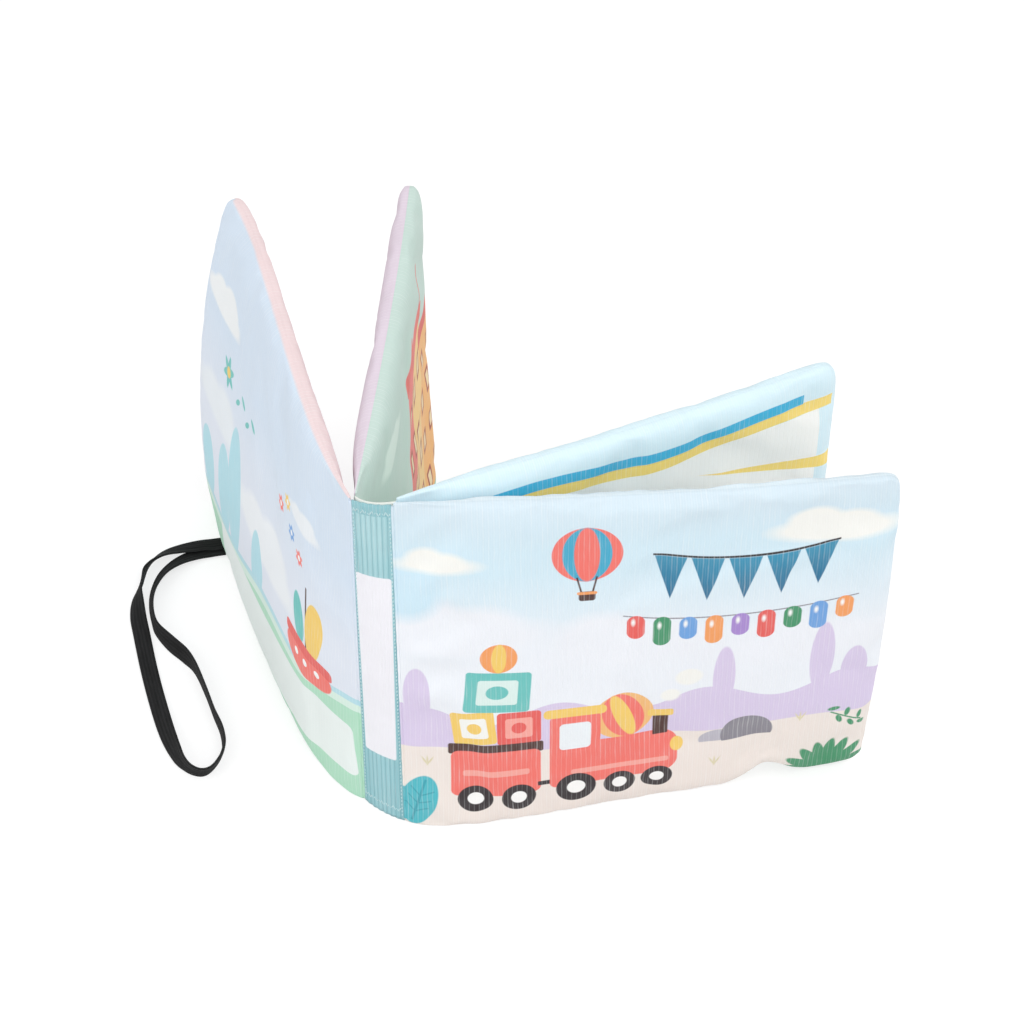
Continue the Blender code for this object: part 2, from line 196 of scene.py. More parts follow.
# Camera, floor and lamps
CAMERA_PLACE = (0.0497, -0.7964, 0.9302)
CAMERA_ELEVATION = math.radians(44)
CAMERA_LENS = 110.46
SENSOR = 36.0
FLOOR_SIZE = 3.0
FLOOR_DROP = 0.0002
FLOOR_COLOUR = 0.88
FLOOR_SHADE = 0.34
FLOOR_GLOW = 0.72
LIGHT_TARGET = (0.04, 0.08, 0.07)
LAMPS = (
    ("key", (0.57, -0.87, 1.63), 1.3, 13.2),
    ("fill", (-1.1, -0.5, 0.9), 1.4, 6.8),
    ("side", (1.25, -0.05, 0.80), 1.2, 2.6),
    ("back", (0.2, 1.4, 1.3), 1.4, 3.0),
)
WORLD_STRENGTH = 0.55
WHITE_LIGHT = (1.0, 1.0, 1.0, 1.0)


# Meshes

def add_object(name, data):
    thing = bpy.data.objects.new(name, data)
    bpy.context.scene.collection.objects.link(thing)
    return thing


def mesh_piece(name, points, faces, material, uvs=None):
    """A piece from its points and faces. uvs holds one flat place for each point."""
    data = bpy.data.meshes.new(name)
    data.from_pydata([tuple(point) for point in points], [], faces)
    data.update()
    if uvs is not None:
        layer = data.uv_layers.new(name="cloth")
        corners = np.empty(len(data.loops), dtype=np.int32)
        data.loops.foreach_get("vertex_index", corners)
        layer.data.foreach_set("uv", np.asarray(uvs, dtype=np.float32)[corners].ravel())
    data.shade_smooth()
    data.materials.append(material)
    return add_object(name, data)


def dress(piece, body, node=None):
    """Gives a piece its body, and hides the model's node that it stands for."""
    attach(piece, body)
    if node:
        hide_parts(node)


def subdivide(piece):
    piece.modifiers.new("smooth", "SUBSURF")
    piece.modifiers["smooth"].levels = 1
    piece.modifiers["smooth"].render_levels = 1


def grid_faces(rows, columns, start=0, flip=False):
    grid = start + np.arange(rows * columns).reshape(rows, columns)
    faces = np.stack((grid[:-1, :-1], grid[1:, :-1], grid[1:, 1:], grid[:-1, 1:]), axis=-1)
    return faces.reshape(-1, 4)[:, ::(-1 if flip else 1)].tolist()


def tube_faces(rings, sides, start=0):
    """Faces of a tube through rings of points, closed at both ends."""
    grid = start + np.arange(rings * sides).reshape(rings, sides)
    after = np.roll(grid, -1, axis=1)
    walls = np.stack((grid[:-1], after[:-1], after[1:], grid[1:]), axis=-1).reshape(-1, 4)
    return walls.tolist() + [grid[0, ::-1].tolist(), grid[-1].tolist()]


def rim_indices(rows, columns):
    """The outer ring of a grid's points, in order."""
    grid = np.arange(rows * columns).reshape(rows, columns)
    return np.concatenate((grid[0], grid[1:, -1], grid[-1, -2::-1], grid[-2:0:-1, 0]))


def layer_piece(name, outer, inner, material, uvs, flush=False):
    """A closed layer between two grids of points. A flush rim keeps its inner edge sharp."""
    rows, columns = outer.shape[:2]
    count = rows * columns
    ring = rim_indices(rows, columns)
    flat_outer, flat_inner = outer.reshape(-1, 3), inner.reshape(-1, 3)
    middle = (flat_outer[ring] + flat_inner[ring]) / 2
    points = np.concatenate((flat_outer, flat_inner, middle))
    cross = np.cross(outer[1, 0] - outer[0, 0], outer[0, 1] - outer[0, 0])
    flip = float(cross @ (outer[0, 0] - inner[0, 0])) < 0
    bead = 2 * count + np.arange(len(ring))
    after, next_bead = np.roll(ring, -1), np.roll(bead, -1)
    near = np.stack((ring, after, next_bead, bead), axis=1)
    far = np.stack((bead, next_bead, after + count, ring + count), axis=1)
    rim = np.stack((near, far), axis=1).reshape(-1, 4)[:, ::(-1 if flip else 1)]
    faces = grid_faces(rows, columns, 0, flip) + grid_faces(rows, columns, count, not flip) + rim.tolist()
    flat = np.asarray(uvs).reshape(-1, 2)
    piece = mesh_piece(name, points, faces, material, np.concatenate((flat, flat, flat[ring])))
    if flush:
        sharpen(piece.data, ring + count)
    return piece


def sharpen(data, ring):
    """Keeps the edges along a ring of points sharp."""
    ends = np.empty(2 * len(data.edges), dtype=np.int32)
    data.edges.foreach_get("vertices", ends)
    in_ring = np.zeros(len(data.vertices), dtype=bool)
    in_ring[ring] = True
    both = in_ring[ends].reshape(-1, 2).all(axis=1)
    data.attributes.new("crease_edge", "FLOAT", "EDGE").data.foreach_set("value", both.astype(np.float32))
    data.edges.foreach_set("use_edge_sharp", both)


def grid_normals(points):
    """Unit normals of a grid of points."""
    across = np.cross(np.gradient(points, axis=0), np.gradient(points, axis=1))
    return across / (np.linalg.norm(across, axis=2)[..., None] + 1e-12)


# The leaves' surfaces, by the model's formulas

def inward_of(along):
    """The level direction into the book, across directions along the spine."""
    across = np.stack((-along[..., 1], along[..., 0], 0.0 * along[..., 0]), axis=-1)
    return across / np.linalg.norm(across, axis=-1)[..., None]


def fold_ends(leaf):
    """Foot and top of the leaf's fold line."""
    width_share, run, depth = LEAVES[leaf]["fold"]
    start = None
    ends = []
    for turn, width, height in ((SPINE_FOOT_HEADING, SPINE_FOOT_WIDTH, 0.0),
                                (SPINE_TOP_HEADING, SPINE_TOP_WIDTH, LEAF_HEIGHT)):
        along = np.array((math.cos(turn), math.sin(turn), 0.0))
        inward = inward_of(along)
        if start is None:
            start = inward * STRIP_BULGE - along * (width / 2)
        across = along * (width * width_share + run) + inward * depth
        ends.append(start + across + np.array((0.0, 0.0, height)))
    return ends


def fold_points(leaf, heights):
    """Points of the leaf's fold line at some heights."""
    foot, top = fold_ends(leaf)
    up_share = np.clip(np.asarray(heights) / LEAF_HEIGHT, 0.0, 1.0)
    return foot + (top - foot) * up_share[..., None]


def cover_strip_points(share, offset, heights):
    """Points of the cover strip, a shallow arc between the covers' fold lines."""
    left, right = fold_points("back_cover", heights), fold_points("front_cover", heights)
    width = np.linalg.norm(right - left, axis=-1)[..., None]
    share, offset = np.asarray(share)[..., None], np.asarray(offset)[..., None]
    along = (right - left) / width
    bulge = STRIP_BULGE * (1.0 - share * share)
    run = along * ((width / 2 - HINGE_CLEARANCE) * share)
    return (left + right) / 2 + run + inward_of(along) * (offset - bulge)


def gutter_strip_points(share, offset, heights):
    """Points of the gutter strip, a valley between the pages' fold lines."""
    left, right = fold_points("left_page", heights), fold_points("right_page", heights)
    share, offset = np.asarray(share)[..., None], np.asarray(offset)[..., None]
    inward = inward_of(right - left)
    lift = inward * (GUTTER_HALF_THICKNESS + PAGE_FOLD_CLEARANCE)
    edge = left + (right - left) * (share + 1.0) / 2 - lift
    rest = STRIP_HALF_THICKNESS + LAYER_GAP + GUTTER_HALF_THICKNESS
    low = cover_strip_points(0.0, rest, heights)
    return edge + (low - (left + right) / 2 + lift) * (1.0 - share * share) + inward * offset


def ramp(distance, reach):
    left = 1.0 - np.clip(distance / reach, 0.0, 1.0)
    return np.sqrt(1.0 - left * left)


def smooth_rise(share):
    return np.sin(np.clip(share, 0.0, 1.0) * math.pi / 2)


def heading(leaf, distance, up_share):
    form = LEAVES[leaf]
    share = distance / LEAF_LENGTH
    rows = []
    for (start, middle, end), pull in zip((form["bottom"], form["top"]), form["root"]):
        bend = start + end - 2 * middle
        slope = 4 * middle - 3 * start - end
        run = start + slope * share + 2 * bend * share * share
        rows.append(run + pull * np.exp(-distance / ROOT_BEND_REACH))
    belly = form["belly"] * share * 4 * up_share * (1.0 - up_share)
    left = np.maximum(LEAF_LENGTH - distance, 0.0)
    curl = form["curl"] * np.exp(-left / TIP_CURL_REACH) * up_share * up_share
    return np.radians(rows[0] + (rows[1] - rows[0]) * up_share + belly + curl)


def middle_surface(leaf, distance, height):
    """Points of the leaf's middle surface, and the directions across it to its left."""
    up_share = np.clip(height / LEAF_HEIGHT, 0.0, 1.0)
    fold = fold_points(leaf, height)
    x, y = fold[..., 0].copy(), fold[..., 1].copy()
    step = distance / PATH_STEPS
    for count in range(PATH_STEPS):
        angle = heading(leaf, (count + 0.5) * step, up_share)
        x += step * np.cos(angle)
        y += step * np.sin(angle)
    angle = heading(leaf, distance, up_share)
    across = np.stack((-np.sin(angle), np.cos(angle), np.zeros_like(angle)), axis=-1)
    return np.stack((x, y, height), axis=-1), across


def half_thickness(leaf, distance, height):
    full = COVER_HALF_THICKNESS if leaf.endswith("cover") else PAGE_HALF_THICKNESS
    up_share = np.clip(height / LEAF_HEIGHT, 0.0, 1.0)
    full = full + CROWN * np.sin(math.pi * distance / LEAF_LENGTH) * np.sin(math.pi * up_share)
    taper = smooth_rise(distance / HINGE_TAPER)
    edge = SEAM_HALF_THICKNESS + (ROOT_HALF_THICKNESS - SEAM_HALF_THICKNESS) * (1.0 - taper)
    rise = ramp(LEAF_LENGTH - distance, EDGE_ROLL)
    rise = rise * ramp(LEAF_HEIGHT - height, EDGE_ROLL) * ramp(height + FOOT_CUT, EDGE_ROLL)
    return edge + (full - edge) * rise ** EDGE_FULLNESS * taper


def rounded(distance, height):
    """Moves points of the leaf's rectangle to its soft outline."""
    inner = LEAF_LENGTH - CORNER_RADIUS
    past = np.maximum((distance - inner) / CORNER_RADIUS, 0.0)
    above = (height - (LEAF_HEIGHT - CORNER_RADIUS)) / CORNER_RADIUS
    below = (CORNER_RADIUS - height) / CORNER_RADIUS
    up = np.maximum(np.maximum(above, below), 0.0)
    reach = CORNER_RADIUS * up * np.sqrt(1.0 - past * past / 2)
    moved = np.where(below > above, CORNER_RADIUS - reach, LEAF_HEIGHT - CORNER_RADIUS + reach)
    corner = (past > 0.0) & (up > 0.0)
    along = inner + CORNER_RADIUS * past * np.sqrt(1.0 - up * up / 2)
    return np.where(corner, along, distance), np.where(corner, moved, height)


def soft_outline(leaf, distance, height):
    distance, height = rounded(distance, height)
    share, up_share = distance / LEAF_LENGTH, height / LEAF_HEIGHT
    distance = distance * LEAVES[leaf]["length_share"]
    distance = distance + FORE_SWELL * np.sin(math.pi * up_share) * share * share
    height = height - TOP_SAG * np.sin(math.pi * share) * up_share * up_share
    if leaf == "front_cover":
        away = (distance - FOOT_TUCK_PLACE_SHARE * LEAF_LENGTH) / FOOT_TUCK_REACH
        past = np.maximum(share - FOOT_LIFT_START_SHARE, 0.0) / (1.0 - FOOT_LIFT_START_SHARE)
        lift = FOOT_TUCK_HEIGHT * np.exp(-away * away) + FOOT_LIFT * smooth_rise(past)
        height = height + lift * (1.0 - up_share) ** 8
    return distance, height


def graded_lines(length, start_rolls):
    """Lines across a leaf: close at its rolled edges, and even between them."""
    edge = np.array(EDGE_LINE_SHARES) * EDGE_ROLL
    first = edge if start_rolls else np.array((HINGE_CLEARANCE, CELL / 2))
    last = length - edge[::-1]
    cells = round((last[0] - first[-1]) / CELL)
    return np.concatenate((first, np.linspace(first[-1], last[0], cells + 1)[1:-1], last))


class LeafShape:
    """One leaf on a grid: its middle surface, and its thickness to either side."""

    def __init__(self, leaf):
        lines = graded_lines(LEAF_LENGTH, False), graded_lines(LEAF_HEIGHT, True)
        flat_along, flat_up = np.meshgrid(*lines, indexing="ij")
        self.leaf = leaf
        self.thick = half_thickness(leaf, flat_along, flat_up)
        self.along, self.up = soft_outline(leaf, flat_along, flat_up)
        self.middle, self.across = middle_surface(leaf, self.along, self.up)
        self.flat = np.stack((self.along, self.up), axis=-1) / CM
        self.edge = np.minimum.reduce((LEAF_LENGTH - flat_along, LEAF_HEIGHT - flat_up, flat_up))

    def surface(self, side):
        return self.middle + side * self.thick[..., None] * self.across


def settle(shape):
    """The leaf's two panels after slack fabric has settled over the padding.

    The seam is pinned, the padding holds the rest with a weak grip, and the fabric is a
    little larger than the padding, so that it buckles into soft shallow folds.
    """
    rows, columns = shape.thick.shape
    count = rows * columns
    sides = [shape.surface(side) for side in (1, -1)]
    points = np.concatenate([side.reshape(-1, 3) for side in sides])
    ring = rim_indices(rows, columns)
    after = np.roll(ring, -1)
    rim = np.stack((ring, after, after + count, ring + count), axis=1)
    faces = grid_faces(rows, columns) + grid_faces(rows, columns, count, True) + rim.tolist()
    material = bpy.data.materials.new("settling")
    bag = mesh_piece("settling", points, faces, material)
    seam = bag.vertex_groups.new(name="seam")
    grip = np.full(count, PAD_GRIP_SHARE)
    grip[ring] = 1.0
    grip[shape.along.ravel() < CELL] = 1.0
    for weight in np.unique(grip):
        chosen = np.flatnonzero(grip == weight)
        seam.add([int(i) for i in (*chosen, *(chosen + count))], float(weight), "REPLACE")
    cloth = bag.modifiers.new("cloth", "CLOTH")
    for name, value in CLOTH_SETTINGS.items():
        setattr(cloth.settings, name, value)
    cloth.settings.shrink_min = -LEAVES[shape.leaf]["slack"]
    cloth.settings.shrink_max = -LEAVES[shape.leaf]["slack"]
    cloth.settings.effector_weights.gravity = 0.0
    cloth.collision_settings.use_collision = False
    cloth.point_cache.frame_end = SETTLE_FRAMES
    for step in range(1, SETTLE_FRAMES + 1):
        bpy.context.scene.frame_set(step)
    data = bag.evaluated_get(bpy.context.evaluated_depsgraph_get()).data
    moved = np.empty(len(data.vertices) * 3)
    data.vertices.foreach_get("co", moved)
    moved = moved.reshape(2, rows, columns, 3)
    bpy.data.objects.remove(bag, do_unlink=True)
    bpy.data.materials.remove(material)
    bpy.context.scene.frame_set(1)
    return [limited(shape, side, rest, settled) for side, rest, settled in zip((1, -1), sides, moved)]


def soft_limit(amount, limit):
    return limit * np.tanh(amount / limit)


def limited(shape, side, rest, settled):
    """Holds the settled fabric close to the padding's own surface."""
    moved = settled - rest
    outward = side * shape.across
    out = (moved * outward).sum(axis=2)
    slide = moved - out[..., None] * outward
    swell = soft_limit(np.maximum(out, 0.0), SWELL_LIMIT)
    dip = soft_limit(np.maximum(-out, 0.0), DIP_LIMIT)
    length = np.linalg.norm(slide, axis=2)[..., None] + 1e-12
    slide = slide / length * soft_limit(length, SLIDE_LIMIT)
    fade = smooth_rise(shape.along / HINGE_FADE)[..., None]
    return rest + fade * ((swell - dip)[..., None] * outward + slide)


def inset_surface(shape, outer, side, depth):
    """The outer panel surface moved in by a depth, kept on its own side of the middle."""
    offset = ((outer - shape.middle) * shape.across).sum(axis=2) * side
    room = np.maximum(offset - SEAM_GAP / 2, 0.0)
    inward = np.clip(shape.edge / SEAM_WIDTH, 0.0, 1.0)
    depths = np.minimum(depth * inward + room * (1.0 - inward), room)
    normals = grid_normals(outer)
    towards = np.sign((normals * shape.across).sum(axis=2).mean()) * side
    edge = np.clip(shape.edge / EDGE_ROLL, 0.0, 1.0)[..., None]
    direction = normals * towards * edge + side * shape.across * (1.0 - edge)
    direction /= np.linalg.norm(direction, axis=2)[..., None]
    return outer - direction * depths[..., None]


def build_leaf(leaf, prints):
    shape = LeafShape(leaf)
    surfaces = dict(zip((1, -1), settle(shape)))
    for side, (panel, slot) in zip((1, -1), LEAVES[leaf]["panels"]):
        outer = surfaces[side]
        inner = inset_surface(shape, outer, side, FABRIC_THICKNESS)
        node = f"{leaf}_{panel}_panel"
        piece = layer_piece(f"{leaf}_{panel}_fabric", outer, inner, prints[node], shape.flat, True)
        subdivide(piece)
        dress(piece, leaf, node)
    build_filling(shape, surfaces, prints)


def build_filling(shape, surfaces, prints):
    """The crinkle film and the batting inside a leaf."""
    leaf = shape.leaf
    film_side = LEAVES[leaf]["film"]
    inner = (slice(4, -5), slice(5, -5))
    flat = shape.flat[inner]
    wall = {side: inset_surface(shape, surfaces[side], side, FABRIC_THICKNESS + 2 * LAYER_GAP)
            for side in (1, -1)}
    film_out = wall[film_side]
    film_in = inset_surface(shape, film_out, film_side, FILM_THICKNESS)
    pad_top = inset_surface(shape, film_out, film_side, FILM_THICKNESS + 2 * LAYER_GAP)
    creases = film_creases(shape, film_side)
    film = layer_piece(f"{leaf}_film_sheet", (film_out + creases)[inner], (film_in + creases)[inner],
                       prints["crinkle_film"], flat)
    dress(film, leaf, f"{leaf}_crinkle_film")
    pad = layer_piece(f"{leaf}_padding", pad_top[inner], wall[-film_side][inner], prints["batting"], flat)
    subdivide(pad)
    dress(pad, leaf, f"{leaf}_batting")


def film_creases(shape, side):
    """Small sharp creases of the film, across its surface."""
    places = np.stack((shape.along, shape.up), axis=-1) / FILM_CREASE_CELL
    heights = np.array([[abs(noise.noise(Vector((s, z, 7.0)))) for s, z in row] for row in places])
    return -side * shape.across * (LAYER_GAP * heights)[..., None]


# Node materials

def srgb(code):
    """Linear colour from a hexadecimal one."""
    parts = [int(code[place:place + 2], 16) / 255 for place in (1, 3, 5)]
    return tuple(part / 12.92 if part <= 0.04045 else ((part + 0.055) / 1.055) ** 2.4
                 for part in parts) + (1.0,)


def operation_method(operation):
    """A method of Value that works out one operation with a node."""
    return lambda value, *others: value.nodes.math(operation, value, *others)


class Value:
    """What a node works out at each place. The operations are for numbers."""

    __add__ = operation_method("ADD")
    __sub__ = operation_method("SUBTRACT")
    __mul__ = operation_method("MULTIPLY")
    __truediv__ = operation_method("DIVIDE")
    __pow__ = operation_method("POWER")
    __abs__ = operation_method("ABSOLUTE")
    sine = operation_method("SINE")
    cosine = operation_method("COSINE")

    def __init__(self, nodes, socket):
        self.nodes = nodes
        self.socket = socket

    def __rsub__(self, other):
        return self.nodes.math("SUBTRACT", other, self)

    def held(self):
        """The last step of a sum, held between 0 and 1."""
        self.socket.node.use_clamp = True
        return self


class Nodes:
    """A material, built up node by node."""

    def __init__(self, name):
        self.material = bpy.data.materials.new(name)
        self.material.use_nodes = True
        self.tree = self.material.node_tree
        self.shader = self.tree.nodes["Principled BSDF"]

    def fill(self, made, inputs):
        for name, value in inputs.items():
            if isinstance(value, Value):
                self.tree.links.new(value.socket, made.inputs[name])
            else:
                made.inputs[name].default_value = value

    def node(self, kind, inputs, output=0, **settings):
        made = self.tree.nodes.new(f"ShaderNode{kind}")
        for name, setting in settings.items():
            setattr(made, name, setting)
        self.fill(made, inputs)
        return Value(self, made.outputs[output])

    def math(self, operation, *values):
        return self.node("Math", dict(enumerate(values)), operation=operation)

    def vector(self, operation, *values):
        output = "Value" if operation == "LENGTH" else "Vector"
        return self.node("VectorMath", dict(enumerate(values)), output, operation=operation)

    def mix(self, share, low, high):
        """A colour between two. A mix node has its colours at inputs 6 and 7 and output 2."""
        low, high = (srgb(colour) if isinstance(colour, str) else colour for colour in (low, high))
        return self.node("Mix", {0: share, 6: low, 7: high}, 2, data_type="RGBA")

    def finish(self, colour, height, levels):
        """Gives the shader its colour, its bumps and its levels."""
        bump = self.node("Bump", {"Strength": 0.9, "Distance": 1.0, "Height": height}, "Normal")
        self.fill(self.shader, {"Base Color": colour, "Normal": bump, **levels})
        return self.material


class Paint(Nodes):
    """A material whose colour is painted in layers, on the cloth's flat places."""

    EDGE = 0.035

    def __init__(self, name, ground):
        super().__init__(name)
        self.place = self.node("UVMap", {}, "UV", uv_map="cloth")
        self.u, self.v = (self.node("SeparateXYZ", {0: self.place}, axis) for axis in "XY")
        self.colour = srgb(ground)

    def lay(self, mask, colour):
        self.colour = self.mix(mask, self.colour, colour)

    def spot(self, u, v, turn):
        """The flat place as seen from another, turned by some degrees."""
        place = self.vector("SUBTRACT", self.place, (u, v, 0.0))
        if not turn:
            return place
        return self.node("VectorRotate", {"Vector": place, "Angle": math.radians(-turn)},
                         rotation_type="Z_AXIS")

    def inside(self, distance, soft=EDGE):
        """1 inside a shape and 0 outside it, from a distance that is negative inside."""
        return (distance * (-1.0 / soft) + 0.5).held()

    def oval(self, u, v, wide, tall, colour, turn=0, soft=EDGE, above=None):
        """An oval, by its half width and half height, or only what lies of it above a height."""
        reach = self.vector("LENGTH", self.vector("DIVIDE", self.spot(u, v, turn), (wide, tall, 1.0)))
        mask = self.inside((reach - 1.0) * min(wide, tall), soft)
        if above is not None:
            mask = mask * ((self.v - above) / self.EDGE).held()
        self.lay(mask, colour)

    def block(self, u, v, wide, tall, colour, corner=0.12, turn=0):
        """A rectangle with round corners, by its half width and half height."""
        corner = min(corner, wide, tall)
        place = self.vector("ABSOLUTE", self.spot(u, v, turn))
        past = self.vector("SUBTRACT", place, (wide - corner, tall - corner, 0.0))
        past = self.vector("MAXIMUM", past, (0.0, 0.0, 0.0))
        self.lay(self.inside(self.vector("LENGTH", past) - corner), colour)

    def below(self, colour, level, slope, swing, pitch, start=0.0):
        """Colours all below a wavy line."""
        self.lay(self.inside(self.v - self.wave(level, slope, swing, pitch, start)), colour)

    def wave(self, level, slope, swing, pitch, start=0.0):
        """Height of a wavy line across the cloth."""
        turn = self.u * (2 * math.pi / pitch) + start
        return turn.sine() * swing + (self.u * slope + level)

    def fade(self, colour, low, high):
        """Blends to a colour between two heights."""
        self.lay(((self.v - low) / (high - low)).held(), colour)

    def noise(self, scale, detail=2.0, stretch=1.0, seed=0.0):
        place = self.vector("MULTIPLY", self.place, (1.0, stretch, 1.0))
        place = self.vector("ADD", place, (seed, seed, seed))
        return self.node("TexNoise", {"Vector": place, "Scale": scale, "Detail": detail}, "Fac")


RIB_PITCH = 0.190
RIB_DEPTH = 0.00007
CRINKLE_DEPTH = 0.00016
STREAK_DEPTH = 0.00006
WEAVE_DEPTH = 0.00003
RIB_CONTRAST = 0.55
BARE_CLOTH = "#FBFCFC"


def finish_fabric(paint, rib_pitch=RIB_PITCH, depth=1.0, shade=0.05):
    """Ribs, weave, crinkles and sheen of the printed polyester fabric, with painted shade along its ribs."""
    wobble = paint.noise(0.9, seed=3.0) * 0.10 + paint.u
    broad, fine = (abs((wobble * (math.pi / pitch)).sine()) ** 0.45 for pitch in (rib_pitch, rib_pitch / 2))
    streak = paint.noise(5.0, 3.0, 0.18, 11.0)
    patch = paint.noise(0.8, seed=29.0)
    rib = broad * 0.62 + fine * 0.38
    bared = (1.0 - rib).held() * (streak * 2.2 - 0.45).held() * (patch * 1.5 - 0.15).held()
    colour = paint.mix(bared * RIB_CONTRAST, paint.colour, BARE_CLOTH)
    # Painted rib shade: the colour is darker along the fine ribs, in patches, by the share given as shade.
    tone = fine * patch * -shade + (1.0 + shade / 3)
    tint = paint.noise(0.35, 3.0, seed=5.0) * 0.05 + 0.975
    weave = paint.noise(38.0, 1.0, seed=17.0)
    crepe = paint.noise(1.5, 4.0, 0.45, 23.0)
    height = rib * (RIB_DEPTH * depth) + crepe * (CRINKLE_DEPTH * 2)
    height = height + weave * WEAVE_DEPTH + streak * STREAK_DEPTH
    return paint.finish(paint.vector("MULTIPLY", colour, tone * tint), height, {
        "Roughness": weave * 0.12 + 0.76, "Specular IOR Level": 0.28,
        "Sheen Weight": 0.14, "Sheen Roughness": 0.45})


# Colours of the prints
SKY_TOP, SKY, SKY_LOW, CLOUD = "#D5E5EF", "#D3EAF5", "#EFF3F9", "#F6F6F1"
CLOUD_BANK = "#F0F3F9"
LILAC, SAND, SAND_DARK = "#DACDE9", "#F0E6DF", "#DDD3AE"
CORAL, CORAL_LIGHT, RED, ORANGE = "#F4766C", "#F8A79C", "#E8605A", "#F5A05E"
YELLOW, TEAL, BROWN = "#F5CE6A", "#6CC4BF", "#4E2F2A"
GREEN, GREEN_PALE, BLUE, PURPLE = "#43956A", "#CFE4C6", "#6FA4E0", "#A98AD0"
INK, WHITE, STONE, STONE_PALE = "#30282B", "#FBFBF9", "#8B8891", "#BCB9C4"
BUSH, BUSH_DEEP, MEADOW = "#4FBAC6", "#36A0B0", "#A9D5BC"
PINK, MINT, BLUE_PALE, LILAC_PALE = "#F0DADB", "#D4E7DF", "#DCF2FA", "#E2D4E1"
STRIPE_YELLOW, STRIPE_BLUE = "#FFDF78", "#3DB6DE"


# Prints

oval, block = Paint.oval, Paint.block


def draw(paint, rows, u, v, size):
    """Lays shapes one after another, moved to a place and scaled. Each row has a shape, its
    place, its half width and half height, and its look."""
    for shape, run, rise, wide, tall, *look in rows:
        shape(paint, u + run * size, v + rise * size, wide * size, tall * size, *look)


def cloud(paint, u, v, size, colour=CLOUD, soft=0.25):
    """Two puffs over a long flat one."""
    for run, rise, wide, tall in ((0, 0, 1.6, 0.42), (-0.5, 0.32, 0.72, 0.5), (0.45, 0.22, 0.62, 0.4)):
        paint.oval(u + run * size, v + rise * size, wide * size, tall * size, colour, 0, soft)


def toy_block(paint, u, v, wide, tall, colour, mark, turn=0):
    paint.block(u, v, wide, tall, colour, 0.16, turn)
    paint.block(u, v, wide * 0.62, tall * 0.62, mark, 0.12, turn)
    paint.oval(u, v, wide * 0.34, tall * 0.34, colour)


def star(paint, u, v, wide, tall, colour, heart, radius):
    """Three crossed ovals with a round heart."""
    for turn in (0, 60, 120):
        paint.oval(u, v, wide, tall, colour, turn)
    paint.oval(u, v, radius, radius, heart)


def poplars(paint, colour, rows):
    """Slim trees, each from its place, height and half width."""
    for u, v, height, width in rows:
        paint.oval(u, v + height * 0.55, width, height * 0.5, colour)
        paint.block(u, v, width * 0.16, height * 0.3, colour, 0.02)


def blades(paint, u, v, reach, width, turns, colour):
    """Leaves that fan out from one place."""
    for turn in turns:
        angle = math.radians(turn)
        paint.oval(u - math.sin(angle) * reach, v + math.cos(angle) * reach, width, reach, colour, turn)


def leaf_shape(paint, u, v, wide, tall, turn, colour, vein):
    """One large leaf with a midrib and side veins."""
    paint.oval(u, v, wide, tall, colour, turn)
    paint.block(u, v, 0.045, tall * 0.86, vein, 0.04, turn)
    angle = math.radians(turn)
    for step in (-0.45, -0.1, 0.25):
        for side in (-1, 1):
            run, rise = side * wide * 0.34, tall * step + wide * 0.25
            paint.block(u + run * math.cos(angle) - rise * math.sin(angle),
                        v + run * math.sin(angle) + rise * math.cos(angle),
                        0.03, wide * 0.4, vein, 0.03, turn - side * 52)


def toy_train(paint, u, v, size):
    """A coral engine that pulls a wagon of toy blocks and carries a ball."""
    draw(paint, (
        (toy_block, 0.95, 4.72, 0.88, 0.88, YELLOW, CLOUD, 5),
        (toy_block, 2.75, 4.66, 0.86, 0.86, RED, CORAL_LIGHT),
        (toy_block, 1.9, 6.62, 1.3, 1.04, TEAL, "#DDF1EC", -3),
        (oval, 1.95, 8.4, 0.74, 0.74, ORANGE), (oval, 1.95, 8.4, 0.3, 0.74, YELLOW),
        (oval, 6.85, 4.62, 1.22, 1.22, "#F5BE7A", 20), (oval, 6.85, 4.62, 0.8052, 1.22, CORAL, 20),
        (oval, 6.85, 4.62, 0.3416, 1.22, YELLOW, 20),
        (block, 1.8, 3.55, 1.9, 0.28, BROWN, 0.1), (block, 1.8, 2.2, 1.8, 1.22, CORAL, 0.3),
        (block, 1.8, 2.2, 1.35, 0.16, CORAL_LIGHT, 0.1), (block, 3.9, 1.4, 0.42, 0.12, INK, 0.05),
        (block, 6.7, 2.25, 2.35, 1.22, CORAL, 0.75), (block, 4.95, 3.05, 1, 2.05, CORAL, 0.3),
        (block, 4.95, 3.85, 0.62, 0.72, "#EEF4F8", 0.18), (block, 4.95, 5.18, 1.25, 0.24, YELLOW, 0.2),
        (block, 8.35, 3.85, 0.3, 0.62, BROWN, 0.05), (block, 8.35, 4.5, 0.5, 0.2, YELLOW),
        (block, 6.75, 1.8, 1.95, 0.14, CORAL_LIGHT, 0.1), (oval, 9.02, 2.55, 0.26, 0.38, YELLOW)),
         u, v, size)
    for run, rise, radius in ((0.95, 0.8, 0.7), (2.7, 0.8, 0.7), (5, 0.88, 0.8), (6.75, 0.74, 0.64),
                              (8.25, 0.74, 0.64)):
        hub = radius * 0.46
        draw(paint, ((oval, run, rise, radius, radius, INK), (oval, run, rise, hub, hub, WHITE)), u, v, size)
    draw(paint, ((oval, 8.7, 5.5, 0.38, 0.323, CLOUD, 0, 0.12),
                 (oval, 9.4, 6.4, 0.52, 0.442, CLOUD, 0, 0.12)), u, v, size)


